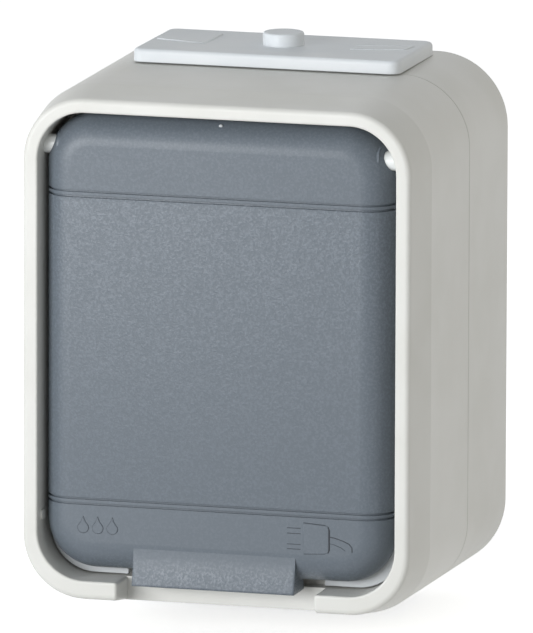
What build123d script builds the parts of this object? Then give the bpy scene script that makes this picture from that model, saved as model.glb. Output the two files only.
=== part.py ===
"""Splash-proof on-wall single socket with a hinged, spring-closed lid.

The back of the housing lies on the wall at Y = 0 and the front looks along -Y.
X runs to the right, Z runs up, and the origin is the middle of the wall face.
A height below is the distance from the wall, and a depth is the distance behind the rim.
All sizes are in millimetres.
"""
from build123d import *
import os

os.makedirs("parts", exist_ok=True)

# Housing: the rim is the narrowest place, and every side flares out towards the wall
rim_width = 66.0
rim_height = 83.6
rim_corner = 10.3
depth = 54.0
band_depth = 8.8
band_flare = 1.3
wall_flare = 1.8
side_wall = 2.2
rim_rounding = 0.9
rim_inner_rounding = 0.35

# Lid bay in the front of the housing, with a deeper pocket along its top for the hinge
rim_side = 2.4
rim_top = 2.3
rim_bottom = 3.0
seat_depth = 8.9
plate_thick = 2.0
partition_thick = 2.0
pocket_depth = 12.0
pocket_length = 12.9
latch_lift = 10.25
latch_depth = 3.0
latch_width = 1.5
latch_length = 2.0
latch_reach = 0.25

# Lid, its grip tab, and the finger notch that clears the tab
lid_gap_left = 0.4
lid_gap_right = 1.2
lid_gap_top = 0.5
lid_gap_bottom = 1.5
lid_face_depth = 0.9
lid_edge_depth = 6.1
lid_wall = 1.8
lid_rounding = 5.0
groove_drop = 13.1
groove_lift = 11.8
groove_spacing = 0.87
groove_width = 0.36
groove_deep = 0.4
tab_width = 27.8
tab_reach = 1.8
tab_rise = 4.7
tab_lip = 0.3
tab_blend = 0.05
lid_corner = 8.5
notch_side_room = 3.0
notch_depth = 6.4
notch_rounding = 0.5
drain_rise = 2.0

# Hinge pins, the lid's bosses on them, and the closing spring
hinge_drop = 6.1
hinge_depth = 4.7
pin_radius = 1.6
pin_seat = 2.2
pin_inset = 0.2
boss_wall = 1.0
boss_reach = 6.2
boss_bury = 2.3
hinge_running_gap = 0.06
press_gap = 0.02
spring_pin_radius = 1.0
spring_pin_end = 0.3
spring_wire_radius = 0.3
spring_turns = 4
spring_pitch = 1.1
spring_leg = 7.2
spring_leg_angle = 65.0
spring_coil_gap = 0.1
spring_start_room = 1.6
spring_end_room = 1.5
spring_lug_thick = 2.0
spring_lug_radius = 2.0

# Plug recess, to the usual sizes of an earthed two-pin socket
well_z = -5.0
recess_radius = 19.5
recess_deep = 17.5
recess_wall = 2.0
recess_floor = 2.5
collar_radius = 23.0
collar_height = 2.5
collar_rounding = 0.6
key_width = 5.0
key_reach = 2.3
key_drop = 2.0
pin_spacing = 19.0
pin_hole_radius = 2.75
plug_pin_radius = 2.4
contact_fit = 0.05

# Gaps between pieces of the fixed assembly, and how far a cutting shape runs past a face
seat_gap = 0.3
slide_gap = 0.1
screw_gap = 0.05
lap_gap = 0.15
seal_gap = 0.02
overshoot = 1.0

# Back box and its fixing slots
parting_height = 23.0
parting_chamfer = 0.2
box_floor = 2.5
lap_height = 2.9
lap_wall = 1.1
seal_height = 1.0
slot_length = 8.0
slot_width = 4.6
slot_spacing_x = 33.0
slot_spacing_z = 60.0

# Soft cable entry plates, plugged into an opening in the top and the bottom of the box
entry_height = 14.25
entry_side_room = 10.0
entry_lip = 5.6
entry_opening = 11.6
entry_corner = 2.0
entry_plate_length = 22.5
entry_plate_thick = 2.2
entry_plate_corner = 1.8
entry_plate_rounding = 0.7
entry_boss_radius = 3.45
entry_boss_height = 2.2
entry_boss_rounding = 0.4
entry_neck_length = 4.0
entry_neck_wall = 2.0

# Screws: one thread size with a pan head, for the cover, the socket front and the block
screw_radius = 1.45
screw_passage = 0.2
screw_head_radius = 2.9
screw_head_height = 1.5
screw_head_chamfer = 0.4
screw_boss_radius = 3.5
head_recess = 1.0
cross_slot_width = 0.75
cross_slot_length = 4.06
cross_slot_deep = 0.7
cover_screw_inset = 7.1
cover_screw_drop = 6.6
cover_screw_lift = 7.8
cover_screw_grip = 9.0
centre_screw_grip = 12.0
block_screw_end = 0.3

# Contact block behind the recess, with sleeves for the plug pins and terminal cages
block_height = 27.0
block_length = 17.2
block_corner = 3.0
block_side_wall = 1.0
block_ear_inset = 5.5
block_ear_out = 3.5
block_ear_radius = 4.0
block_ear_thick = 3.0
sleeve_wall = 0.95
sleeve_lift = 1.0
sleeve_drop = 0.4
sleeve_slit = 0.8
sleeve_room = 0.9
ring_thick = 0.65
ring_width = 3.0
ring_lift = 0.5
ring_slit = 1.6
cage_inner = 5.0
cage_wall = 1.0
cage_height = 7.2
cage_span = 7.2
cage_offset = 6.4
wire_hole_width = 3.5
terminal_head_radius = 2.4
terminal_head_height = 2.2
terminal_shaft_length = 3.6
clamp_thick = 0.8
clamp_grip = 0.2

# Earth bracket: folded strip with two spring clips that reach into the recess
strip_width = 4.6
strip_thick = 0.8
strip_bend = 1.2
strip_channel = 3.5
clip_reach = 3.2
clip_gap = 0.5
clip_room = 0.5
clip_top_drop = 2.5
clip_bulge_drop = 2.2
clip_tip_drop = 7.5
clip_tip_lead = 1.5
clip_bend = 0.9
clip_top_bend = 0.7
earth_screw_drop = 8.5

# Lid seal: a soft ring held between two ribs inside the lid
seal_inner_radius = 20.0
seal_outer_radius = 22.6
seal_rib = 0.8
seal_rib_height = 1.0

# Heights above the wall that several pieces share
band_height = depth - band_depth
seat_height = depth - seat_depth
plate_height = seat_height + plate_thick
partition_height = seat_height - partition_thick
pocket_height = depth - pocket_depth
pocket_back_height = pocket_height - partition_thick
hinge_height = depth - hinge_depth
lid_face_height = depth - lid_face_depth
lid_edge_height = depth - lid_edge_depth
lid_inner_height = lid_face_height - lid_wall
collar_top = plate_height + collar_height
recess_floor_height = collar_top - recess_deep
cup_back_height = recess_floor_height - recess_floor
cup_radius = recess_radius + recess_wall
block_front = cup_back_height - slide_gap
block_back = block_front - block_length
sleeve_back = block_back + sleeve_lift
sleeve_length = block_length - sleeve_lift - sleeve_drop

# The bay and the lid, measured inwards from the rim
bay_width = rim_width - 2 * rim_side
bay_top = rim_height / 2 - rim_top
bay_bottom = rim_bottom - rim_height / 2
bay_height = bay_top - bay_bottom
bay_z = (bay_top + bay_bottom) / 2
bay_corner = rim_corner - rim_top
pocket_bottom = bay_top - pocket_length
lid_top = bay_top - lid_gap_top
lid_bottom = bay_bottom + lid_gap_bottom
lid_height = lid_top - lid_bottom
lid_z = (lid_top + lid_bottom) / 2
lid_width = bay_width - lid_gap_left - lid_gap_right
lid_x = (lid_gap_left - lid_gap_right) / 2
lid_thick = lid_face_height - lid_edge_height
notch_width = tab_width + 2 * notch_side_room
tab_bottom = lid_bottom - tab_reach
tab_rise_z = lid_bottom + tab_rise
groove_z = (lid_bottom + groove_lift, lid_top - groove_drop)
hinge_z = bay_top - hinge_drop

# Places of the pins, the contacts, the cages and the earth strip
pin_reach = bay_width / 2 + pin_seat
boss_radius = pin_radius + boss_wall
boss_inner_x = bay_width / 2 - boss_reach
contact_x = pin_spacing / 2
sleeve_inner_radius = plug_pin_radius + contact_fit
sleeve_radius = sleeve_inner_radius + sleeve_wall
cage_x = contact_x + cage_offset
strip_back = block_front - strip_channel
strip_front = strip_back + strip_thick
clip_top = seat_height - clip_top_drop
cage_top = strip_back
cage_bottom = cage_top - cage_height
block_width = 2 * (cage_x + cage_inner / 2 + cage_wall + slide_gap + block_side_wall)
entry_plate_width = rim_width - 2 * entry_side_room
entry_width = entry_plate_width - 2 * entry_lip


def front_plane(height):
    """Plane parallel to the wall: local x is X, local y is Z, and up is towards the room."""
    return Plane.XZ.offset(height)


def flare(height):
    """How far each side stands outside the rim at this height."""
    down = depth - height
    if down <= band_depth:
        return band_flare * down / band_depth
    return band_flare + (wall_flare - band_flare) * (down - band_depth) / (depth - band_depth)


def housing_outline(height, inset=0.0):
    """Outline of the housing at a height, moved inwards by the inset."""
    grow = flare(height) - inset
    RectangleRounded(rim_width + 2 * grow, rim_height + 2 * grow, rim_corner + grow)


def bay_outline(gap=0.0):
    """Outline of the lid bay, moved inwards by the gap."""
    with Locations((0, bay_z)):
        RectangleRounded(bay_width - 2 * gap, bay_height - 2 * gap, bay_corner - gap)


def keep_above(z):
    """Keeps the part of a sketch that lies above z."""
    with Locations((0, z - rim_height)):
        Rectangle(2 * rim_width, 2 * rim_height, mode=Mode.SUBTRACT)


def keep_below(z):
    """Keeps the part of a sketch that lies below z."""
    with Locations((0, z + rim_height)):
        Rectangle(2 * rim_width, 2 * rim_height, mode=Mode.SUBTRACT)


cover_screw_x = bay_width / 2 - cover_screw_inset
cover_screw_rows = (bay_bottom + cover_screw_lift, pocket_bottom - cover_screw_drop)
cover_screw_places = [(x, z) for x in (-cover_screw_x, cover_screw_x) for z in cover_screw_rows]
ear_x = block_width / 2 - block_ear_inset
ear_rise = block_height / 2 + block_ear_out
ear_places = [(-ear_x, well_z + ear_rise), (ear_x, well_z - ear_rise)]
contact_places = [(-contact_x, well_z), (contact_x, well_z)]
cage_places = [(-cage_x, well_z), (cage_x, well_z)]

# Back box: tapered tray on the wall, with a lap joint, screw bosses and cable openings
cover_screw_tip = parting_height - cover_screw_grip
with BuildPart() as back_box:
    with BuildSketch(front_plane(0)):
        housing_outline(0)
    with BuildSketch(front_plane(parting_height)):
        housing_outline(parting_height)
    loft(ruled=True)
    chamfer(back_box.faces().sort_by(Axis.Y)[0].edges(), parting_chamfer)
    with BuildSketch(front_plane(box_floor)):
        housing_outline(parting_height, side_wall)
    extrude(amount=depth, mode=Mode.SUBTRACT)
    with BuildSketch(front_plane(parting_height)):
        housing_outline(parting_height, lap_wall + lap_gap)
        with BuildSketch(mode=Mode.SUBTRACT):
            housing_outline(parting_height, side_wall)
    extrude(amount=lap_height)
    with BuildSketch(Plane.XY):
        with Locations((0, -entry_height)):
            RectangleRounded(
                entry_width + 2 * slide_gap,
                entry_opening + 2 * slide_gap,
                entry_corner + slide_gap,
            )
    extrude(amount=rim_height, both=True, mode=Mode.SUBTRACT)
    with BuildSketch(front_plane(0)):
        with GridLocations(slot_spacing_x, slot_spacing_z, 2, 2):
            SlotOverall(slot_length, slot_width)
    extrude(amount=box_floor, mode=Mode.SUBTRACT)
    with BuildSketch(front_plane(box_floor)):
        with Locations(*cover_screw_places):
            Circle(screw_boss_radius)
    extrude(amount=parting_height - box_floor - seat_gap)
    with BuildSketch(front_plane(cover_screw_tip - overshoot)):
        with Locations(*cover_screw_places):
            Circle(screw_radius + screw_gap)
    extrude(amount=depth, mode=Mode.SUBTRACT)
    with BuildSketch(front_plane(box_floor)):
        with Locations(*ear_places):
            Circle(screw_boss_radius)
    extrude(amount=block_back - box_floor)
    with BuildSketch(front_plane(box_floor + block_screw_end - overshoot)):
        with Locations(*ear_places):
            Circle(screw_radius + screw_gap)
    extrude(amount=block_back, mode=Mode.SUBTRACT)
back_box.part.label = "back_box"
export_step(back_box.part, "parts/back_box.step")

# Seal that lies in the lap joint between the box and the front
with BuildPart() as box_seal:
    with BuildSketch(front_plane(parting_height + lap_height + seal_gap)):
        housing_outline(parting_height, lap_wall + lap_gap)
        with BuildSketch(mode=Mode.SUBTRACT):
            housing_outline(parting_height, side_wall)
    extrude(amount=seal_height)
box_seal.part.label = "box_seal"
export_step(box_seal.part, "parts/box_seal.step")

# Front frame: flared skirt, rim, lid bay with a stepped partition, and screw pillars
with BuildPart() as front_frame:
    with BuildSketch(front_plane(parting_height)):
        housing_outline(parting_height)
    with BuildSketch(front_plane(band_height)):
        housing_outline(band_height)
    loft(ruled=True)
    chamfer(front_frame.faces().sort_by(Axis.Y)[-1].edges(), parting_chamfer)
    with BuildSketch(front_plane(band_height)):
        housing_outline(band_height)
    with BuildSketch(front_plane(depth)):
        housing_outline(depth)
    loft(ruled=True)
    with BuildSketch(front_plane(seat_height)):
        bay_outline()
    extrude(amount=seat_depth, mode=Mode.SUBTRACT)
    rim_face = front_frame.faces().sort_by(Axis.Y)[0]
    fillet(rim_face.outer_wire().edges(), rim_rounding)
    rim_face = front_frame.faces().sort_by(Axis.Y)[0]
    fillet(rim_face.inner_wires()[0].edges(), rim_inner_rounding)
    with BuildSketch(front_plane(pocket_height)):
        bay_outline()
        keep_above(pocket_bottom)
    extrude(amount=seat_height - pocket_height, mode=Mode.SUBTRACT)
    with BuildSketch(front_plane(parting_height)):
        housing_outline(parting_height, side_wall)
    extrude(amount=pocket_back_height - parting_height, mode=Mode.SUBTRACT)
    with BuildSketch(front_plane(pocket_back_height)):
        bay_outline()
        keep_below(pocket_bottom - partition_thick)
    extrude(amount=partition_height - pocket_back_height, mode=Mode.SUBTRACT)
    with BuildSketch(front_plane(parting_height)):
        housing_outline(parting_height, lap_wall)
    extrude(amount=lap_height + seal_height + 2 * seal_gap, mode=Mode.SUBTRACT)
    with BuildSketch(front_plane(parting_height)):
        with Locations(*cover_screw_places):
            Circle(screw_boss_radius)
    extrude(amount=partition_height - parting_height)
    with BuildSketch(front_plane(parting_height)):
        with Locations(*cover_screw_places):
            Circle(screw_radius + screw_passage)
        with Locations((0, well_z)):
            Circle(cup_radius + seat_gap)
    extrude(amount=depth, mode=Mode.SUBTRACT)
    with BuildSketch(Plane.YZ):
        with Locations((-hinge_height, hinge_z)):
            Circle(pin_radius)
    extrude(amount=pin_reach, both=True, mode=Mode.SUBTRACT)
    for side in (-1, 1):
        with BuildSketch(Plane.YZ.offset(side * bay_width / 2)):
            with Locations((latch_depth - depth, bay_bottom + latch_lift)):
                RectangleRounded(latch_length, latch_width, latch_width / 3)
        extrude(amount=-side * latch_reach)
    with BuildSketch(front_plane(depth - notch_depth)):
        with Locations((0, bay_bottom - rim_bottom / 2)):
            Rectangle(notch_width, rim_bottom + 2 * (band_flare + overshoot))
    extrude(amount=notch_depth + overshoot, mode=Mode.SUBTRACT)
    rim_ends = front_frame.faces().sort_by(Axis.Y)[0].edges().filter_by(Axis.Z).sort_by(Axis.Z)[:2]
    fillet(rim_ends, notch_rounding)
front_frame.part.label = "front_frame"
export_step(front_frame.part, "parts/front_frame.step")

# Socket front: plate on the seat of the bay, sealing collar and plug recess in one piece
key_foot = recess_wall / 2
with BuildPart() as socket_front:
    with BuildSketch(front_plane(seat_height)):
        bay_outline(seat_gap)
        keep_below(pocket_bottom - seat_gap)
        with Locations((0, bay_bottom)):
            Rectangle(notch_width, 2 * drain_rise, mode=Mode.SUBTRACT)
    extrude(amount=plate_thick)
    with BuildSketch(front_plane(plate_height)):
        with Locations((0, well_z)):
            Circle(collar_radius)
    extrude(amount=collar_height)
    fillet(socket_front.faces().sort_by(Axis.Y)[0].edges(), collar_rounding)
    with BuildSketch(front_plane(cup_back_height)):
        with Locations((0, well_z)):
            Circle(cup_radius)
    extrude(amount=seat_height - cup_back_height)
    with BuildSketch(front_plane(recess_floor_height)):
        with Locations((0, well_z)):
            Circle(recess_radius)
    extrude(amount=recess_deep, mode=Mode.SUBTRACT)
    with BuildSketch(front_plane(recess_floor_height)):
        for side in (-1, 1):
            with Locations((side * (recess_radius + (key_foot - key_reach) / 2), well_z)):
                Rectangle(key_reach + key_foot, key_width)
    extrude(amount=recess_deep - key_drop)
    with BuildSketch(front_plane(cup_back_height)):
        with Locations(*contact_places):
            Circle(pin_hole_radius)
        with Locations((0, well_z)):
            Circle(screw_radius + screw_passage)
    extrude(amount=recess_floor, mode=Mode.SUBTRACT)
    with BuildSketch(front_plane(recess_floor_height - head_recess)):
        with Locations((0, well_z)):
            Circle(screw_head_radius + seat_gap)
    extrude(amount=head_recess, mode=Mode.SUBTRACT)
    slot_outer = cup_radius + clip_room
    slot_inner = recess_radius - clip_reach - clip_room
    with BuildSketch(front_plane(cup_back_height)):
        for side in (-1, 1):
            with Locations((0, well_z + side * (slot_outer + slot_inner) / 2)):
                Rectangle(strip_width + 2 * seat_gap, slot_outer - slot_inner)
    extrude(amount=clip_top + clip_room + strip_thick - cup_back_height, mode=Mode.SUBTRACT)
    with BuildSketch(front_plane(seat_height)):
        with Locations(*cover_screw_places):
            Circle(screw_radius + screw_passage)
    extrude(amount=plate_thick, mode=Mode.SUBTRACT)
    with BuildSketch(front_plane(plate_height - head_recess)):
        with Locations(*cover_screw_places):
            Circle(screw_head_radius + seat_gap)
    extrude(amount=head_recess, mode=Mode.SUBTRACT)
socket_front.part.label = "socket_front"
export_step(socket_front.part, "parts/socket_front.step")

# Cover screws: four pan heads with cross slots, through plate and pillars into the box
cover_head_height = plate_height - head_recess
with BuildPart() as cover_screws:
    with BuildSketch(front_plane(cover_screw_tip)):
        with Locations(*cover_screw_places):
            Circle(screw_radius)
    extrude(amount=cover_head_height - cover_screw_tip)
    with BuildSketch(front_plane(cover_head_height)):
        with Locations(*cover_screw_places):
            Circle(screw_head_radius)
    extrude(amount=screw_head_height)
    chamfer(cover_screws.faces().group_by(Axis.Y)[0].edges(), screw_head_chamfer)
    with BuildSketch(front_plane(cover_head_height + screw_head_height - cross_slot_deep)):
        with Locations(*cover_screw_places):
            Rectangle(cross_slot_length, cross_slot_width)
            Rectangle(cross_slot_width, cross_slot_length)
    extrude(amount=cross_slot_deep, mode=Mode.SUBTRACT)
cover_screws.part.label = "cover_screws"
export_step(cover_screws.part, "parts/cover_screws.step")

# Centre screw: holds the socket front to the contact block
centre_head_height = recess_floor_height - head_recess
centre_screw_tip = block_front - centre_screw_grip
with BuildPart() as centre_screw:
    with BuildSketch(front_plane(centre_screw_tip)):
        with Locations((0, well_z)):
            Circle(screw_radius)
    extrude(amount=centre_head_height - centre_screw_tip)
    with BuildSketch(front_plane(centre_head_height)):
        with Locations((0, well_z)):
            Circle(screw_head_radius)
    extrude(amount=screw_head_height)
    chamfer(centre_screw.faces().group_by(Axis.Y)[0].edges(), screw_head_chamfer)
    with BuildSketch(front_plane(centre_head_height + screw_head_height - cross_slot_deep)):
        with Locations((0, well_z)):
            Rectangle(cross_slot_length, cross_slot_width)
            Rectangle(cross_slot_width, cross_slot_length)
    extrude(amount=cross_slot_deep, mode=Mode.SUBTRACT)
centre_screw.part.label = "centre_screw"
export_step(centre_screw.part, "parts/centre_screw.step")

# Contact block: insulating carrier for the contacts, with two ears on the box pillars
with BuildPart() as contact_block:
    with BuildSketch(front_plane(block_back)):
        with Locations((0, well_z)):
            RectangleRounded(block_width, block_height, block_corner)
    extrude(amount=block_length)
    with BuildSketch(front_plane(block_back)):
        for x, z in ear_places:
            with Locations((x, (z + well_z) / 2)):
                Rectangle(2 * block_ear_radius, abs(z - well_z))
            with Locations((x, z)):
                Circle(block_ear_radius)
    extrude(amount=block_ear_thick)
    with BuildSketch(front_plane(block_back)):
        with Locations(*ear_places):
            Circle(screw_radius + screw_passage)
    extrude(amount=block_ear_thick, mode=Mode.SUBTRACT)
    with BuildSketch(front_plane(sleeve_back - slide_gap)):
        with Locations(*contact_places):
            Circle(sleeve_radius + sleeve_room)
    extrude(amount=block_length, mode=Mode.SUBTRACT)
    with BuildSketch(front_plane(cage_bottom - slide_gap)):
        with Locations(*cage_places):
            Rectangle(cage_inner + 2 * cage_wall + 2 * slide_gap, cage_span + 2 * slide_gap)
    extrude(amount=block_length, mode=Mode.SUBTRACT)
    with BuildSketch(front_plane(cage_bottom + cage_wall)):
        with Locations(*cage_places):
            Rectangle(wire_hole_width, block_height + overshoot)
    extrude(amount=cage_inner, mode=Mode.SUBTRACT)
    with BuildSketch(front_plane(strip_back - slide_gap)):
        with Locations((0, well_z)):
            Rectangle(strip_width + 2 * seat_gap, block_height + overshoot)
    extrude(amount=block_length, mode=Mode.SUBTRACT)
    with BuildSketch(front_plane(centre_screw_tip - overshoot)):
        with Locations((0, well_z)):
            Circle(screw_radius + screw_gap)
    extrude(amount=block_length, mode=Mode.SUBTRACT)
    with BuildSketch(front_plane(cage_bottom - slide_gap)):
        with Locations((0, well_z - earth_screw_drop)):
            Rectangle(cage_inner + 2 * seat_gap, cage_inner + 2 * seat_gap)
    extrude(amount=block_length, mode=Mode.SUBTRACT)
contact_block.part.label = "contact_block"
export_step(contact_block.part, "parts/contact_block.step")

# Block screws: fix the contact block to the two pillars in the box
block_head_height = block_back + block_ear_thick
block_screw_tip = box_floor + block_screw_end
with BuildPart() as block_screws:
    with BuildSketch(front_plane(block_screw_tip)):
        with Locations(*ear_places):
            Circle(screw_radius)
    extrude(amount=block_head_height - block_screw_tip)
    with BuildSketch(front_plane(block_head_height)):
        with Locations(*ear_places):
            Circle(screw_head_radius)
    extrude(amount=screw_head_height)
    chamfer(block_screws.faces().group_by(Axis.Y)[0].edges(), screw_head_chamfer)
block_screws.part.label = "block_screws"
export_step(block_screws.part, "parts/block_screws.step")

# Contacts: a slit sleeve for a plug pin, folded in one piece with its terminal cage
for contact_name, side in (("live_contact", -1), ("neutral_contact", 1)):
    with BuildPart() as contact:
        with BuildSketch(front_plane(sleeve_back)):
            with Locations((side * contact_x, well_z)):
                Circle(sleeve_radius)
        extrude(amount=sleeve_length)
        with BuildSketch(front_plane(cage_bottom)):
            with Locations((side * cage_x, well_z)):
                Rectangle(cage_inner + 2 * cage_wall, cage_span)
        extrude(amount=cage_height)
        with BuildSketch(front_plane(cage_bottom + cage_wall)):
            with Locations((side * cage_x, well_z)):
                Rectangle(cage_inner, cage_span)
        extrude(amount=cage_height - 2 * cage_wall, mode=Mode.SUBTRACT)
        with BuildSketch(front_plane(cage_bottom + cage_wall)):
            with Locations((side * cage_x, well_z)):
                Circle(screw_radius + screw_gap)
        extrude(amount=cage_height, mode=Mode.SUBTRACT)
        with BuildSketch(front_plane(sleeve_back)):
            with Locations((side * contact_x, well_z)):
                Circle(sleeve_inner_radius)
            with Locations((side * (contact_x - sleeve_radius), well_z)):
                Rectangle(sleeve_radius, sleeve_slit)
        extrude(amount=block_length, mode=Mode.SUBTRACT)
    contact.part.label = contact_name
    export_step(contact.part, f"parts/{contact_name}.step")

# Contact springs: steel rings that keep the slit sleeves tight on the plug pins
ring_inner_radius = sleeve_radius + screw_gap
with BuildPart() as contact_springs:
    with BuildSketch(front_plane(sleeve_back + ring_lift)):
        for side in (-1, 1):
            with Locations((side * contact_x, well_z)):
                Circle(ring_inner_radius + ring_thick)
                Circle(ring_inner_radius, mode=Mode.SUBTRACT)
            with Locations((side * (contact_x - ring_inner_radius), well_z)):
                Rectangle(2 * ring_thick + overshoot, ring_slit, mode=Mode.SUBTRACT)
    extrude(amount=ring_width)
contact_springs.part.label = "contact_springs"
export_step(contact_springs.part, "parts/contact_springs.step")

# Earth bracket: one folded strip, across the block and up both sides into the recess
strip_middle = strip_back + strip_thick / 2
arm_z = cup_radius - strip_thick - clip_gap
clip_bulge = clip_top - clip_bulge_drop
clip_tip = clip_top - clip_tip_drop
with BuildPart() as earth_bracket:
    with BuildSketch(Plane.YZ):
        with BuildLine():
            FilletPolyline(
                (-clip_tip, well_z - arm_z + clip_tip_lead),
                (-clip_bulge, well_z - arm_z + clip_reach),
                (-clip_top, well_z - arm_z),
                (-strip_middle, well_z - arm_z),
                (-strip_middle, well_z + arm_z),
                (-clip_top, well_z + arm_z),
                (-clip_bulge, well_z + arm_z - clip_reach),
                (-clip_tip, well_z + arm_z - clip_tip_lead),
                radius=(clip_bend, clip_top_bend, strip_bend, strip_bend, clip_top_bend, clip_bend),
            )
            offset(amount=strip_thick / 2)
        make_face()
    extrude(amount=strip_width / 2, both=True)
    with BuildSketch(front_plane(strip_back)):
        with Locations((0, well_z), (0, well_z - earth_screw_drop)):
            Circle(screw_radius + slide_gap)
    extrude(amount=strip_thick, mode=Mode.SUBTRACT)
earth_bracket.part.label = "earth_bracket"
export_step(earth_bracket.part, "parts/earth_bracket.step")

# Terminal screws: one on each cage and one on the earth bracket
terminal_places = [
    (-cage_x, well_z, cage_top),
    (cage_x, well_z, cage_top),
    (0, well_z - earth_screw_drop, strip_front),
]
with BuildPart() as terminal_screws:
    for x, z, height in terminal_places:
        with BuildSketch(front_plane(height - terminal_shaft_length)):
            with Locations((x, z)):
                Circle(screw_radius)
        extrude(amount=terminal_shaft_length)
        with BuildSketch(front_plane(height)):
            with Locations((x, z)):
                Circle(terminal_head_radius)
        extrude(amount=terminal_head_height)
        with BuildSketch(front_plane(height + terminal_head_height - cross_slot_deep)):
            with Locations((x, z)):
                Rectangle(2 * terminal_head_radius + overshoot, cross_slot_width)
        extrude(amount=cross_slot_deep, mode=Mode.SUBTRACT)
terminal_screws.part.label = "terminal_screws"
export_step(terminal_screws.part, "parts/terminal_screws.step")

# Clamp plates: under the tip of each pole screw, and threaded on the earth screw
pole_clamp_height = cage_top - terminal_shaft_length - clamp_thick - screw_gap
earth_clamp_height = strip_front - terminal_shaft_length + clamp_grip
with BuildPart() as clamp_plates:
    with BuildSketch(front_plane(pole_clamp_height)):
        with Locations(*cage_places):
            Rectangle(cage_inner - 2 * slide_gap, cage_inner)
    extrude(amount=clamp_thick)
    with BuildSketch(front_plane(earth_clamp_height)):
        with Locations((0, well_z - earth_screw_drop)):
            Rectangle(cage_inner, cage_inner)
            Circle(screw_radius + screw_gap, mode=Mode.SUBTRACT)
    extrude(amount=clamp_thick)
clamp_plates.part.label = "clamp_plates"
export_step(clamp_plates.part, "parts/clamp_plates.step")

# Cable entry plate: soft plug-in plate with a pierceable boss, on top of the box
entry_seat = rim_height / 2 + wall_flare
with BuildPart() as cable_entry_top:
    with BuildSketch(Plane.XY.offset(entry_seat)):
        with Locations((0, -entry_height)):
            RectangleRounded(entry_plate_width, entry_plate_length, entry_plate_corner)
    extrude(amount=entry_plate_thick)
    fillet(cable_entry_top.faces().sort_by(Axis.Z)[-1].edges(), entry_plate_rounding)
    with BuildSketch(Plane.XY.offset(entry_seat + entry_plate_thick)):
        with Locations((0, -entry_height)):
            Circle(entry_boss_radius)
    extrude(amount=entry_boss_height)
    fillet(cable_entry_top.faces().sort_by(Axis.Z)[-1].edges(), entry_boss_rounding)
    with BuildSketch(Plane.XY.offset(entry_seat - entry_neck_length)):
        with Locations((0, -entry_height)):
            RectangleRounded(entry_width, entry_opening, entry_corner)
    extrude(amount=entry_neck_length)
    with BuildSketch(Plane.XY.offset(entry_seat - entry_neck_length)):
        with Locations((0, -entry_height)):
            RectangleRounded(
                entry_width - 2 * entry_neck_wall,
                entry_opening - 2 * entry_neck_wall,
                entry_corner / 2,
            )
    extrude(amount=entry_neck_length, mode=Mode.SUBTRACT)
cable_entry_top.part.label = "cable_entry_top"
export_step(cable_entry_top.part, "parts/cable_entry_top.step")

with BuildPart() as cable_entry_bottom:
    mirror(cable_entry_top.part, about=Plane.XY)
cable_entry_bottom.part.label = "cable_entry_bottom"
export_step(cable_entry_bottom.part, "parts/cable_entry_bottom.step")

# Hinge pins: pressed into the cheeks of the bay; the left one is longer and carries the spring
pin_start = boss_inner_x + pin_inset
with BuildPart() as hinge_pin_right:
    with BuildSketch(Plane.YZ.offset(pin_start)):
        with Locations((-hinge_height, hinge_z)):
            Circle(pin_radius - press_gap)
    extrude(amount=pin_reach - pin_start)
hinge_pin_right.part.label = "hinge_pin_right"
export_step(hinge_pin_right.part, "parts/hinge_pin_right.step")

coil_length = spring_pitch * (spring_turns + (90 + spring_leg_angle) / 360)
coil_start_x = spring_start_room - boss_inner_x
lug_x = coil_start_x + coil_length + spring_end_room + spring_lug_thick / 2
with BuildPart() as hinge_pin_left:
    with BuildSketch(Plane.YZ.offset(-pin_reach)):
        with Locations((-hinge_height, hinge_z)):
            Circle(pin_radius - press_gap)
    extrude(amount=pin_reach - pin_start)
    with BuildSketch(Plane.YZ.offset(-pin_start)):
        with Locations((-hinge_height, hinge_z)):
            Circle(spring_pin_radius)
    extrude(amount=pin_start + lug_x + spring_lug_thick / 2 + spring_pin_end)
hinge_pin_left.part.label = "hinge_pin_left"
export_step(hinge_pin_left.part, "parts/hinge_pin_left.step")

# Closing spring: a coil round the thin end of the left pin, with a leg on lid and on frame
coil_radius = spring_pin_radius + spring_wire_radius + spring_coil_gap
hinge_axis = Axis((0, -hinge_height, hinge_z), (1, 0, 0))
with BuildPart() as lid_spring:
    with BuildLine():
        coil = Helix(
            spring_pitch,
            coil_length,
            coil_radius,
            center=(coil_start_x, -hinge_height, hinge_z),
            direction=(1, 0, 0),
            mode=Mode.PRIVATE,
        ).rotate(hinge_axis, -spring_leg_angle)
        frame_leg = Line(coil @ 0 - (coil % 0) * spring_leg, coil @ 0)
        add(coil)
        Line(coil @ 1, coil @ 1 + (coil % 1) * spring_leg)
    with BuildSketch(Plane(frame_leg @ 0, z_dir=frame_leg % 0)):
        Circle(spring_wire_radius)
    sweep(transition=Transition.ROUND)
lid_spring.part.label = "lid_spring"
export_step(lid_spring.part, "parts/lid_spring.step")

# Lid: a hollow cap with rounded edges, twin thin grooves, hinge bosses and a grip tab
with BuildPart() as lid_hollow:
    with BuildSketch(front_plane(lid_edge_height)):
        with Locations((lid_x, lid_z)):
            RectangleRounded(
                lid_width - 2 * lid_wall, lid_height - 2 * lid_wall, lid_corner - lid_wall
            )
    extrude(amount=lid_thick - lid_wall)
    fillet(lid_hollow.faces().sort_by(Axis.Y)[0].edges(), lid_rounding - lid_wall)

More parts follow.
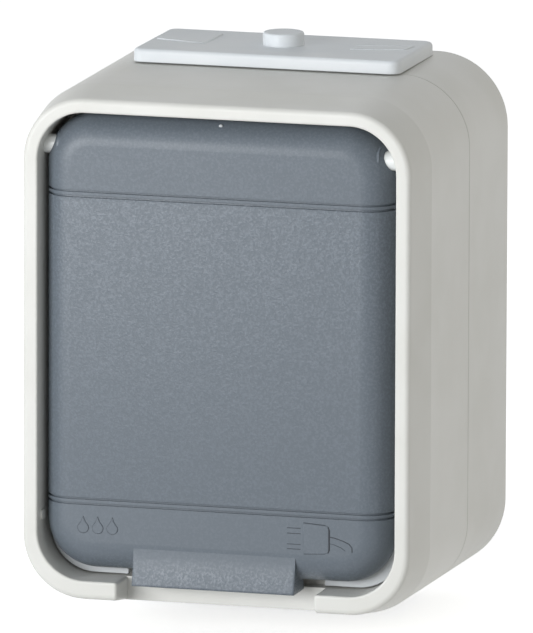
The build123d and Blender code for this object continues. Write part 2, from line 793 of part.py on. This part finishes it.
with BuildPart() as lid:
    with BuildSketch(front_plane(lid_edge_height)):
        with Locations((lid_x, lid_z)):
            RectangleRounded(lid_width, lid_height, lid_corner)
    extrude(amount=lid_thick)
    fillet(lid.faces().sort_by(Axis.Y)[0].edges(), lid_rounding)
    add(lid_hollow.part, mode=Mode.SUBTRACT)
    for middle in groove_z:
        for z in (middle - groove_spacing / 2, middle + groove_spacing / 2):
            with BuildSketch(Plane.XY.offset(z - groove_width / 2)):
                with Locations((lid_x, -lid_edge_height)):
                    Rectangle(lid_width + overshoot, 2 * (lid_thick + overshoot))
                    RectangleRounded(
                        lid_width - 2 * groove_deep,
                        2 * (lid_thick - groove_deep),
                        lid_rounding - groove_deep,
                        mode=Mode.SUBTRACT,
                    )
                with Locations((lid_x, depth - lid_edge_height)):
                    Rectangle(2 * lid_width, 2 * depth, mode=Mode.SUBTRACT)
            extrude(amount=groove_width, mode=Mode.SUBTRACT)
    with BuildSketch(Plane.YZ.offset(lid_x)):
        with BuildLine():
            rise = TangentArc(
                (tab_blend - lid_face_height, tab_rise_z),
                (-depth, tab_bottom + tab_lip),
                tangent=(0, -1),
            )
            Polyline(
                rise @ 1,
                (-depth, tab_bottom),
                (-lid_edge_height, tab_bottom),
                (-lid_edge_height, lid_bottom + lid_wall),
                (-lid_inner_height, lid_bottom + lid_wall),
                (-lid_inner_height, tab_rise_z),
                rise @ 0,
            )
        make_face()
    extrude(amount=tab_width / 2, both=True)
    for side in (-1, 1):
        boss_end = side * (lid_width / 2 - boss_bury) + lid_x
        with BuildSketch(Plane.YZ.offset(side * boss_inner_x)):
            with Locations((-hinge_height, hinge_z)):
                Circle(boss_radius)
        extrude(amount=boss_end - side * boss_inner_x)
        with BuildSketch(Plane.YZ.offset(side * boss_inner_x)):
            with Locations((-hinge_height, hinge_z)):
                Circle(pin_radius + hinge_running_gap)
        extrude(amount=side * (boss_reach + overshoot), mode=Mode.SUBTRACT)
    with BuildSketch(Plane.YZ.offset(lug_x)):
        with Locations((-hinge_height, hinge_z)):
            Circle(spring_lug_radius)
        with Locations((-(hinge_height + lid_inner_height) / 2, hinge_z)):
            Rectangle(lid_inner_height - hinge_height, 2 * spring_lug_radius)
        with Locations((-hinge_height, hinge_z)):
            Circle(spring_pin_radius + hinge_running_gap, mode=Mode.SUBTRACT)
    extrude(amount=spring_lug_thick / 2, both=True)
    with BuildSketch(front_plane(lid_inner_height - seal_rib_height)):
        with Locations((0, well_z)):
            Circle(seal_outer_radius + screw_gap + seal_rib)
            Circle(seal_outer_radius + screw_gap, mode=Mode.SUBTRACT)
            Circle(seal_inner_radius - screw_gap)
            Circle(seal_inner_radius - screw_gap - seal_rib, mode=Mode.SUBTRACT)
    extrude(amount=seal_rib_height)
lid.part.label = "lid"
export_step(lid.part, "parts/lid.step")

# Lid seal: soft ring between the ribs of the lid, just clear of the collar when closed
with BuildPart() as lid_seal:
    with BuildSketch(front_plane(collar_top + seat_gap)):
        with Locations((0, well_z)):
            Circle(seal_outer_radius)
            Circle(seal_inner_radius, mode=Mode.SUBTRACT)
    extrude(amount=lid_inner_height - collar_top - seat_gap)
lid_seal.part.label = "lid_seal"
export_step(lid_seal.part, "parts/lid_seal.step")
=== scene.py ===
# %% [markdown]
# # Dressing a splash-proof wall socket
# This notebook takes the finished solids of an on-wall socket and gives them the looks
# of the real one: pale moulded plastic, a dark grained lid, a soft cable entry, and
# small signs pressed into the mouldings. Each solid already stands in its right place,
# in metres, with the wall at Y = 0 and the front along -Y.

# %% Load the solids
import bmesh
import bpy
import math
from mathutils import Matrix, Vector


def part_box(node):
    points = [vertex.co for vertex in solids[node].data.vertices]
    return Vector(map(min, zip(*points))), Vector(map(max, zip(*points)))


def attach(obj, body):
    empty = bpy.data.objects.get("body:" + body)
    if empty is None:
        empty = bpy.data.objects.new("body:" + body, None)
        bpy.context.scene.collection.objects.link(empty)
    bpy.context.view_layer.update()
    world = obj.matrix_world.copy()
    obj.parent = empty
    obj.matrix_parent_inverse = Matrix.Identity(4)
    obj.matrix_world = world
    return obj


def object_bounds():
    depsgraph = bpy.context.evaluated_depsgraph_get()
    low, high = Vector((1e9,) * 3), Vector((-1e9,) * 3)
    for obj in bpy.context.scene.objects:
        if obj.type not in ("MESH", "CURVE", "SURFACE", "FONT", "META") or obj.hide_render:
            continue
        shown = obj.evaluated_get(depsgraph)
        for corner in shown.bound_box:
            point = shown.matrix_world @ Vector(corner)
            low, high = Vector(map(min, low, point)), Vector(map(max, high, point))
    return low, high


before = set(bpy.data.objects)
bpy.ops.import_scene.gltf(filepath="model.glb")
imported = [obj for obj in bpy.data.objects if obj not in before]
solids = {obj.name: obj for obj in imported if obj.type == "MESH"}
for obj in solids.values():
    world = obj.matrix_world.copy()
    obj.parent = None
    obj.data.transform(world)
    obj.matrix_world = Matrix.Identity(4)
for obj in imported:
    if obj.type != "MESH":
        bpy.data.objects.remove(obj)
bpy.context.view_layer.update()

# %% [markdown]
# ## The camera
# The photograph was taken with a long lens from the right and a little above. A long
# lens keeps parallel edges parallel, so the camera stands two and a half metres away
# and sees about two degrees. The camera is turned from three vectors: the picture's
# right, its up, and the way it looks. A small roll levels the rim as in the photograph.

# %% Place the camera
MM = 0.001
SWING, RISE, ROLL = math.radians(16.17), math.radians(10.35), math.radians(0.18)
DISTANCE = 2.503
AIM = Vector((0.894, -27.0, 2.156)) * MM
PICTURE_WIDTH, FOCAL_PIXELS = 533, 15101


def direction(swing, rise):
    """The way from the socket to something that stands to its right and above, in radians."""
    return Vector((math.sin(swing) * math.cos(rise), -math.cos(swing) * math.cos(rise), math.sin(rise)))


looking = -direction(SWING, RISE)
level_right = Vector((math.cos(SWING), math.sin(SWING), 0))
level_up = level_right.cross(looking)
picture_right = level_right * math.cos(ROLL) + level_up * math.sin(ROLL)
picture_up = level_up * math.cos(ROLL) - level_right * math.sin(ROLL)

lens = bpy.data.cameras.new("photo_camera")
lens.sensor_fit = "HORIZONTAL"
lens.sensor_width = 36
lens.lens = FOCAL_PIXELS / PICTURE_WIDTH * lens.sensor_width
lens.clip_start, lens.clip_end = 0.1, 50
camera = bpy.data.objects.new("photo_camera", lens)
bpy.context.scene.collection.objects.link(camera)
turn = Matrix((picture_right, picture_up, -looking)).transposed()
camera.matrix_world = Matrix.Translation(AIM - looking * DISTANCE) @ turn.to_4x4()
bpy.context.scene.camera = camera
print("camera at", [round(v, 3) for v in camera.matrix_world.translation], "lens", round(lens.lens), "mm")

# %% [markdown]
# ## A way to write materials
# A finish is built from shader nodes. Two small classes keep that readable. `Field`
# wraps a socket whose value changes over the surface, so `1 - mask * 0.3` adds the
# Math nodes by itself. `Finish` is one material, and its `node` method makes any
# other node: it sets the node's own settings first, and then its sockets, each with
# a number or with a link.

# %% Field and Finish
class Field:
    """A value that changes over the surface."""

    def __init__(self, finish, socket):
        self.finish, self.socket = finish, socket

    def maths(self, operation, first, second):
        return self.finish.node("ShaderNodeMath", {"operation": operation}, {0: first, 1: second})

    def __add__(self, other):
        return self.maths("ADD", self, other)

    def __sub__(self, other):
        return self.maths("SUBTRACT", self, other)

    def __rsub__(self, other):
        return self.maths("SUBTRACT", other, self)

    def __mul__(self, other):
        return self.maths("MULTIPLY", self, other)

    __radd__ = __add__
    __rmul__ = __mul__


class Finish:
    """One material of the socket, or the light round it, and its nodes."""

    def __init__(self, name, owner=None):
        self.material = owner or bpy.data.materials.new(name)
        self.material.use_nodes = True
        self.tree = self.material.node_tree
        self.tree.nodes.clear()
        self.places = {}

    def node(self, kind, settings=None, sockets=None, output=0):
        made = self.tree.nodes.new(kind)
        for name, value in (settings or {}).items():
            setattr(made, name, value)
        for place, value in (sockets or {}).items():
            if isinstance(value, Field):
                self.tree.links.new(value.socket, made.inputs[place])
            else:
                made.inputs[place].default_value = value
        return Field(self, made.outputs[output]) if made.outputs else made

    def position(self):
        """Where a point of the surface is in the part's own frame, in metres."""
        if "object" not in self.places:
            self.places["object"] = self.node("ShaderNodeTexCoord", output="Object")
        return self.places["object"]

    def axis(self, name):
        if name not in self.places:
            self.places[name] = self.node("ShaderNodeSeparateXYZ", {}, {0: self.position()}, output=name)
        return self.places[name]

    def noise(self, grain_mm, detail=2.0, rough=0.5, stretch=(1, 1, 1)):
        """Noise with blotches about grain_mm across, as a number round one half."""
        scaled = self.node(
            "ShaderNodeMapping", {"vector_type": "POINT"}, {"Vector": self.position(), "Scale": stretch}
        )
        sockets = {"Vector": scaled, "Scale": 1000 / grain_mm, "Detail": detail, "Roughness": rough}
        return self.node("ShaderNodeTexNoise", {"noise_dimensions": "3D"}, sockets)

    def step(self, value, low, high):
        """0 below low and 1 above high, with a smooth change between them."""
        return self.node(
            "ShaderNodeMapRange",
            {"interpolation_type": "SMOOTHSTEP", "clamp": True},
            {"Value": value, "From Min": low, "From Max": high},
        )

    def mix(self, factor, first, second):
        """A colour between two colours."""
        return self.node(
            "ShaderNodeMix", {"data_type": "RGBA"}, {"Factor": factor, 6: first, 7: second}, output=2
        )

    def bump(self, height, depth_mm, base):
        """The tilt that a fine relief gives, on top of the tilt that base has already."""
        sockets = {"Height": height, "Distance": depth_mm * MM, "Strength": 1.0, "Normal": base}
        return self.node("ShaderNodeBump", {}, sockets)

    def soft_edges(self, radius_mm):
        """The tiny rounding that every moulded edge has."""
        return self.node("ShaderNodeBevel", {"samples": 6}, {"Radius": radius_mm * MM})

    def surface(self, **sockets):
        """Ends the finish with its surface shader. Names are the shader's own."""
        values = {name.replace("_", " "): value for name, value in sockets.items()}
        shader = self.node("ShaderNodeBsdfPrincipled", {}, values)
        self.node("ShaderNodeOutputMaterial", {}, {"Surface": shader})
        return self.material


def paint(red, green, blue):
    """A colour that is given as it looks on a screen, 0 to 255, as the shader wants it."""
    light = [v / 255 / 12.92 if v <= 10 else ((v / 255 + 0.055) / 1.055) ** 2.4 for v in (red, green, blue)]
    return (*light, 1.0)


def dress(material, *names):
    """Gives CAD nodes their finish."""
    for name in names:
        solids[name].data.materials.clear()
        solids[name].data.materials.append(material)
    print(material.name, "on", ", ".join(names))


print("middle grey on a screen is", round(paint(128, 128, 128)[0], 3), "to a shader")

# %% [markdown]
# ## The housing
# Box and front are injection moulded in a warm light grey, almost white plastic with
# a satin skin. Up close such a skin has a very fine spark-eroded grain and faint
# clouds where the melt flowed. Both are far too small to model, so they are noise:
# one for the colour and the gloss, one for the gloss and the bump. The edges get a
# rounding of a fifth of a millimetre in the shading, which draws the fine light lines
# along them.

# %% Housing plastic
CLOUD_MM = 14
CLOUD_SHINE, GRAIN_SHINE = 0.06, 0.08


def moulded(name, light, dark, grain_mm, grain_depth, roughness, edge_mm):
    finish = Finish(name)
    clouds = finish.noise(CLOUD_MM, detail=3)
    grain = finish.noise(grain_mm, detail=2, rough=0.6)
    colour = finish.mix(finish.step(clouds, 0.3, 0.7), light, dark)
    shine = roughness + CLOUD_SHINE * (clouds - 0.5) + GRAIN_SHINE * (grain - 0.5)
    normal = finish.bump(grain, grain_depth, finish.soft_edges(edge_mm))
    return finish.surface(Base_Color=colour, Roughness=shine, Normal=normal)


housing = moulded("housing_plastic", paint(225, 224, 219), paint(220, 219, 213), 0.35, 0.006, 0.4, 0.2)
dress(housing, "front_frame", "back_box")
insert = moulded("insert_plastic", paint(196, 199, 201), paint(190, 194, 196), 0.35, 0.006, 0.42, 0.15)
dress(insert, "socket_front")

# %% [markdown]
# ## The lid
# The lid is moulded in a dark blue-grey plastic. Its middle field and the grip tab have
# a coarser grain than the bands above and below the double lines: in the photograph
# the field sparkles, while the bands are smoother. One grain pattern serves both. A mask
# along Z says how deep it is. The tips of the grain are painted lighter than its pits: a
# painted highlight for the light they catch, stronger on the field, on the tab and towards the top.
# In the shading, the field is not quite flat: a crown of six tenths of a millimetre,
# too low to see as a shape, gathers the sheen of the lamp at its upper left.

# %% Lid plastic
FIELD_BOTTOM_MM, FIELD_TOP_MM, TAB_TOP_MM = (-25.2, -24.8), (25.2, 25.6), (-37.2, -33.5)
TAB_GRAIN = 1.6
PITS, TIP_HIGHLIGHT = paint(99, 107, 115), paint(123, 131, 140)
TIPS_FROM = (0.42, 0.66)
TAB_EDGE_MM, LID_EDGE_MM = 0.7, 0.1
GRAIN_MM, CROWN_MM, HALF_FIELD = 0.06, 0.6, 25 * MM


def lid_plastic():
    finish = Finish("lid_plastic")
    height = finish.axis("Z")
    above_low, above_high, above_tab = (
        finish.step(height, low_mm * MM, high_mm * MM)
        for low_mm, high_mm in (FIELD_BOTTOM_MM, FIELD_TOP_MM, TAB_TOP_MM)
    )
    field = above_low * (1 - above_high)
    tab = 1 - above_tab
    coarse = field + TAB_GRAIN * tab
    # The grain is crisper towards the top of the lid, where the light grazes it, and on the tab. There its
    # tips are also painted lighter, a painted highlight.
    crisp_and_highlit = 0.6 + 0.5 * finish.step(height, -24 * MM, 30 * MM) + 0.35 * tab
    clouds = finish.noise(11, detail=2)
    grain = finish.noise(0.42, detail=3, rough=0.65)
    tips = finish.step(grain, *TIPS_FROM)
    # Painted highlight: the colour goes from the pits' colour towards the lighter colour of the tips.
    colour = finish.mix(tips * crisp_and_highlit * (0.28 + 0.24 * coarse), PITS, TIP_HIGHLIGHT)
    shine = 0.4 + 0.08 * (clouds - 0.5) - 0.08 * (tips * coarse)
    across = finish.axis("X")
    along = finish.node("ShaderNodeClamp", {}, {0: height, 1: -HALF_FIELD, 2: HALF_FIELD})
    crown = CROWN_MM / GRAIN_MM / HALF_FIELD**2 * (across * across + along * along)
    relief = grain * crisp_and_highlit * (0.4 + 0.6 * coarse) - crown
    edges = finish.node(
        "ShaderNodeMix",
        {"data_type": "VECTOR"},
        {"Factor": tab, 4: finish.soft_edges(LID_EDGE_MM), 5: finish.soft_edges(TAB_EDGE_MM)},
        output=1,
    )
    normal = finish.bump(relief, GRAIN_MM, edges)
    return finish.surface(Base_Color=colour, Roughness=shine, Normal=normal, Specular_IOR_Level=0.38)


lid_finish = lid_plastic()
dress(lid_finish, "lid")

# %% [markdown]
# ## Soft and metal pieces
# The cable entries are a whiter, softer plastic, and the hinge pins a smooth white one.
# The seals are matt black rubber, and the block behind the lid is dark grey plastic. The
# metal pieces are nickel-plated brass and zinc-plated steel: plating is drawn as fine
# streaks in gloss and a faint stain in colour. Most are seen only when the lid is up,
# but they are finished all the same. The housing's recipe serves all the plastics.

# %% Entry plates, seals and pins
entry = moulded("entry_plastic", paint(232, 235, 237), paint(226, 230, 233), 0.6, 0.01, 0.5, 0.3)
dress(entry, "cable_entry_top", "cable_entry_bottom")
pin_finish = moulded("pin_plastic", paint(238, 240, 238), paint(231, 233, 231), 0.3, 0.004, 0.32, 0.1)
dress(pin_finish, "hinge_pin_left", "hinge_pin_right")
rubber = moulded("seal_rubber", paint(34, 34, 35), paint(44, 44, 45), 0.3, 0.02, 0.72, 0.1)
dress(rubber, "box_seal", "lid_seal")
carrier = moulded("carrier_plastic", paint(58, 59, 61), paint(50, 51, 53), 0.5, 0.015, 0.5, 0.15)
dress(carrier, "contact_block")

# %% Plated metal
STREAK_SHINE, STREAK_MM = 0.22, 0.008
METAL_EDGE_MM = 0.08


def plated(name, bright, stained, roughness, stretch):
    finish = Finish(name)
    stains = finish.noise(3, detail=4, rough=0.6)
    streaks = finish.noise(0.8, detail=3, stretch=stretch)
    colour = finish.mix(finish.step(stains, 0.45, 0.75), bright, stained)
    shine = roughness + STREAK_SHINE * (streaks - 0.5)
    normal = finish.bump(streaks, STREAK_MM, finish.soft_edges(METAL_EDGE_MM))
    return finish.surface(Base_Color=colour, Metallic=1.0, Roughness=shine, Normal=normal)


zinc = plated("zinc_steel", paint(205, 207, 210), paint(176, 178, 180), 0.34, (1, 6, 1))
dress(zinc, "cover_screws", "centre_screw", "block_screws", "terminal_screws", "clamp_plates")
spring_steel = plated("spring_steel", paint(190, 192, 196), paint(150, 152, 156), 0.28, (8, 1, 1))
dress(spring_steel, "lid_spring", "contact_springs")
nickel = plated("nickel_brass", paint(214, 203, 176), paint(190, 176, 142), 0.3, (1, 8, 1))
dress(nickel, "live_contact", "neutral_contact", "earth_bracket")

# %% [markdown]
# ## Signs on the lid
# At the lower right of the lid stands a plain sign of a plug. On the real lid it is
# moulded a tenth of a millimetre proud, so it is made as a thin pad of lid plastic
# with an eased edge. A pad that low hardly shows, and the real sign is seen by the fine
# dark line where its foot meets the lid. That line is painted shade: a thread in a dark
# colour laid where the shade falls, a curve with a round section, heavier on the side
# away from the light. Three plain drops at the lower left stand for splashing water,
# their edges drawn with the same painted shade.

# %% Threads and pads
TAB_PROUD_MM = 0.9
LID_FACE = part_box("lid")[0].y + TAB_PROUD_MM * MM
LID_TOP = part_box("lid")[1].z
PAD_MM, PAD_FOOT_MM, PAD_SLOPE_MM, PAD_STEEP_SHARE = 0.12, 0.05, 0.08, 0.3
print("lid face at y =", round(LID_FACE * 1000, 2), "mm, top at z =", round(LID_TOP * 1000, 2), "mm")


def add_piece(name, data, material, body):
    piece = bpy.data.objects.new(name, data)
    bpy.context.scene.collection.objects.link(piece)
    data.materials.append(material)
    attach(piece, body)
    return piece


def thread(name, routes, radius_mm, place, material, body):
    """Fine round threads along routes of points in mm. place turns two numbers into a point."""
    curve = bpy.data.curves.new(name, "CURVE")
    curve.dimensions = "3D"
    curve.bevel_depth = radius_mm * MM
    curve.bevel_resolution = 2
    curve.use_fill_caps = True
    for route in routes:
        line = curve.splines.new("POLY")
        line.points.add(len(route) - 1)
        for point, spot in zip(line.points, route):
            point.co = (*place(*spot), 1)
    return add_piece(name, curve, material, body)


def soften(corners, radius_mm=0.5, steps=5):
    """Points round a polygon whose corners are eased, in mm."""
    points = []
    for before, corner, after in zip(corners[-1:] + corners[:-1], corners, corners[1:] + corners[:1]):
        corner = Vector(corner)
        start = corner + (Vector(before) - corner).normalized() * radius_mm
        end = corner + (Vector(after) - corner).normalized() * radius_mm
        for step in range(steps + 1):
            t = step / steps
            points.append(start * (1 - t) ** 2 + corner * (2 * t * (1 - t)) + end * t**2)
    return points


def pads(name, outlines, place, material, body):
    """Thin raised pads with a sloping edge. Their feet are sunk a little into what carries them."""
    levels = ((0.0, -PAD_FOOT_MM), (0.0, PAD_STEEP_SHARE * PAD_MM), (PAD_SLOPE_MM, PAD_MM))
    shape = bmesh.new()
    for outline in outlines:
        middle = sum(outline, Vector((0, 0))) / len(outline)
        rings = []
        for inset, level in levels:
            spots = [point + (middle - point).normalized() * inset for point in outline]
            rings.append([shape.verts.new(place(*spot, level)) for spot in spots])
        for lower, upper in zip(rings, rings[1:]):
            for k in range(len(lower)):
                shape.faces.new((lower[k - 1], lower[k], upper[k], upper[k - 1]))
        shape.faces.new(rings[0])
        shape.faces.new(rings[-1])
    bmesh.ops.recalc_face_normals(shape, faces=shape.faces)
    mesh = bpy.data.meshes.new(name)
    shape.to_mesh(mesh)
    shape.free()
    return add_piece(name, mesh, material, body)


def on_lid(x, z, up=0.0):
    return Vector((x * MM, LID_FACE - up * MM, z * MM))


# %% Plug sign
# groove_shadow is painted shade: a dark colour for the shade in the sign's lines and at its foot.
groove_shade = moulded("groove_shadow", paint(62, 66, 72), paint(56, 60, 66), 0.4, 0.01, 0.6, 0.05)
plug_corners = [(14.9, -27.0), (19.2, -27.3), (19.2, -31.95), (14.95, -32.2)]
pads("plug_pad", [soften(plug_corners)], on_lid, lid_finish, "flap")
plug_lead = [(19.3, -29.1), (20.4, -29.3), (21.7, -29.7), (22.7, -30.15), (23.15, -30.7), (23.2, -31.5)]
# Each line of painted shade has its radius and its routes, in mm.
sign_lines = {
    "plug_edge_top": (0.07, [[(14.9, -26.98), (18.5, -27.22), (19.05, -27.5)]]),
    "plug_edge_right": (0.14, [[(19.05, -27.5), (19.27, -28.1), (19.27, -31.3), (19.05, -31.8)]]),
    "plug_edge_low": (0.05, [[(19.05, -31.8), (18.5, -32.02), (14.95, -32.22)]]),
    "plug_lead": (0.09, [plug_lead]),
    "plug_lead_under": (0.05, [[(19.3, -30.2), (20.2, -30.4), (21.3, -30.8), (22.0, -31.3)]]),
    "plug_prongs": (0.06, [[(12.1, z), (14.4, z)] for z in (-27.95, -28.85, -30.65, -31.45)]),
}
for name, (radius_mm, routes) in sign_lines.items():
    thread(name, routes, radius_mm, on_lid, groove_shade, "flap")
print("plug sign from", len(sign_lines), "kinds of line")

# %% [markdown]
# ## Drops and the gate mark
# A drop is a circle whose upper half is drawn out and pinched: the sine of the angle,
# where it is positive, both lifts a point and pulls it in. The small pale ring high on
# the lid's upper rounding is the mark that the mould's gate leaves, where the melt came
# in. The rounding falls away from the face, so the ring is sunk by what a circle says.

# %% Drop signs and gate mark
DROP_RADIUS, DROP_STEPS, DROP_MIDDLE_Z = 0.95, 28, -29.9
DROP_MIDDLES_X = (-22.9, -20.4, -17.9)
GATE_DROP, LID_ROUNDING = 1.0, 5.0
GATE_WIDE, GATE_HIGH, GATE_STEPS = 0.2, 0.15, 12

drops = []
for middle_x in DROP_MIDDLES_X:
    drop = []
    for step in range(DROP_STEPS):
        turn_round = 2 * math.pi * step / DROP_STEPS
        lift = max(0.0, math.sin(turn_round))
        wide = DROP_RADIUS * (1 - 0.85 * lift**3)
        tall = DROP_RADIUS * (1 + lift**4)
        x = middle_x + wide * math.cos(turn_round)
        drop.append(Vector((x, DROP_MIDDLE_Z + tall * math.sin(turn_round))))
    drops.append(drop)
pads("drop_pads", drops, on_lid, lid_finish, "flap")
# The edges of the drops are threads of painted shade.
thread("drop_edges", [drop + drop[:1] for drop in drops], 0.05, on_lid, groove_shade, "flap")

gate_sink = LID_ROUNDING - math.sqrt(LID_ROUNDING**2 - (LID_ROUNDING - GATE_DROP) ** 2)


def on_rounding(x, z):
    return Vector((x * MM, LID_FACE + gate_sink * MM, LID_TOP + (z - GATE_DROP) * MM))


gate_angles = [2 * math.pi * k / GATE_STEPS for k in range(GATE_STEPS + 1)]
gate_ring = [(GATE_WIDE * math.cos(angle), GATE_HIGH * math.sin(angle)) for angle in gate_angles]
thread("gate_mark", [gate_ring], 0.16, on_rounding, insert, "flap")
print("three drops and the gate mark")

# %% [markdown]
# ## Marks on the cable entry plates
# Each plate has two shallow raised fields, left bare here. Each is a thin pad whose
# front edge runs a little askew, with a fine ridge along one side. The round boss is
# the plate's highest point, so the plate itself lies lower than the solid's box.

# %% Bare fields
BOSS_RISE_MM = 2.2
ENTRY_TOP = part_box("cable_entry_top")[1].z - BOSS_RISE_MM * MM
ENTRY_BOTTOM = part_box("cable_entry_bottom")[0].z + BOSS_RISE_MM * MM
left_field = [(-21.6, -14.8), (-12.9, -17.2), (-12.5, -7.9), (-20.8, -7.2)]
right_field = [(11.9, -16.1), (21.0, -13.7), (21.4, -10.0), (12.1, -12.4)]
fields = [soften(left_field), soften(right_field)]
ridges = [left_field[:3], right_field[2:]]
for place_name, level, outward in (("top", ENTRY_TOP, 1), ("bottom", ENTRY_BOTTOM, -1)):

    def on_plate(x, y, up=0.0):
        return Vector((x * MM, y * MM, level + outward * up * MM))

    pads("entry_fields_" + place_name, fields, on_plate, entry, "socket")
    thread("entry_ridges_" + place_name, ridges, 0.22, on_plate, entry, "socket")
print("bare fields on both entry plates")

# %% [markdown]
# ## Floor
# The socket stands on a pale floor in a white studio. A floor of plain paint would look
# grey against the white behind it. So it glows, but only for rays that look at it:
# straight, in a mirror or through something clear. The light that it throws on the
# socket stays that of plain paint.

# %% Floor
FLOOR_GLOW, FLOOR_REACH, FLOOR_GAP_MM = 0.66, 6.0, 0.1
WHITE = (1, 1, 1, 1)


def looked_at(finish):
    """1 for rays that look at this, and 0 for light that it throws on something else."""
    straight, mirrored, through = (
        finish.node("ShaderNodeLightPath", output=f"Is {kind} Ray")
        for kind in ("Camera", "Glossy", "Transmission")
    )
    return straight + mirrored + through


floor_finish = Finish("studio_floor")
floor_tone = floor_finish.mix(floor_finish.noise(60, detail=1), paint(242, 242, 242), paint(238, 238, 238))
plain, glowing = (
    floor_finish.node(
        "ShaderNodeBsdfPrincipled",
        {},
        {"Base Color": floor_tone, "Roughness": 0.8, "Emission Color": WHITE, "Emission Strength": glow},
    )
    for glow in (0.0, FLOOR_GLOW)
)
floor_mix = floor_finish.node("ShaderNodeMixShader", {}, {0: looked_at(floor_finish), 1: plain, 2: glowing})
floor_finish.node("ShaderNodeOutputMaterial", {}, {"Surface": floor_mix})

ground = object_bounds()[0].z - FLOOR_GAP_MM * MM
floor_corners = [(x * FLOOR_REACH, y * FLOOR_REACH, ground) for x, y in ((-1, -1), (1, -1), (1, 1), (-1, 1))]
sheet = bpy.data.meshes.new("studio_floor")
sheet.from_pydata(floor_corners, [], [(0, 1, 2, 3)])
floor = bpy.data.objects.new("studio_floor", sheet)
sheet.materials.append(floor_finish.material)
bpy.context.scene.collection.objects.link(floor)
print("floor at z =", round(1000 * ground, 1), "mm")

# %% [markdown]
# ## World and lamp
# In the photograph the front is the brightest, the right side is warm and even, and the
# top is a little cooler. One soft lamp at the front left, just above the socket, gives
# the front its brightness and lays the broad sheen on the lid. The world does the rest.
# Its light depends on where it comes from: dim from the front, fuller from behind, warm
# from the right and cool from above. The white behind the socket is what looking rays
# see of the world. It is not light on the socket.

# %% World
DIM, FULL = (0.07, 0.07, 0.07, 1), (0.52, 0.52, 0.51, 1)
WARM, COOL = (0.9, 0.84, 0.73, 1), (0.46, 0.5, 0.54, 1)

studio = Finish("studio", bpy.data.worlds.new("studio"))
bpy.context.scene.world = studio.material
way_out = studio.node("ShaderNodeTexCoord", output="Generated")
to_right, to_back, upward = (
    studio.node("ShaderNodeSeparateXYZ", {}, {0: way_out}, output=axis) for axis in ("X", "Y", "Z")
)
# Both shares change a little from the front to the back: the light from the right grows,
# and the light from above shrinks.
from_right = studio.step(to_right, 0.1, 0.9) * (0.72 + 0.18 * to_back)
from_above = studio.step(upward, 0.05, 0.9) * (0.6 - 0.38 * to_back)
dome = studio.mix(studio.step(to_back, 0.1, 1.0), DIM, FULL)
dome = studio.mix(from_right, dome, WARM)
dome = studio.mix(from_above, dome, COOL)
fill, white = (
    studio.node("ShaderNodeBackground", {}, {"Color": colour, "Strength": 1.0}) for colour in (dome, WHITE)
)
sky = studio.node("ShaderNodeMixShader", {}, {0: looked_at(studio), 1: fill, 2: white})
studio.node("ShaderNodeOutputWorld", {}, {"Surface": sky})
bpy.context.scene.view_settings.view_transform = "Standard"
print("world of", len(studio.tree.nodes), "nodes")

# %% Lamp
LAMP_WAY = direction(math.radians(-29), math.radians(8))
LAMP_DISTANCE, LAMP_WIDTH, LAMP_HEIGHT, LAMP_WATTS = 1.0, 0.74, 0.34, 7.9

lamp = bpy.data.lights.new("front_lamp", "AREA")
lamp.shape, lamp.size, lamp.size_y = "RECTANGLE", LAMP_WIDTH, LAMP_HEIGHT
lamp.energy, lamp.color = LAMP_WATTS, (0.97, 0.985, 1.0)
holder = bpy.data.objects.new("front_lamp", lamp)
holder.location = AIM + LAMP_WAY * LAMP_DISTANCE
holder.rotation_euler = LAMP_WAY.to_track_quat("Z", "Y").to_euler()
bpy.context.scene.collection.objects.link(holder)
print("lamp shines", round(LAMP_WATTS / (math.pi * LAMP_WIDTH * LAMP_HEIGHT), 2), "per unit of its face")
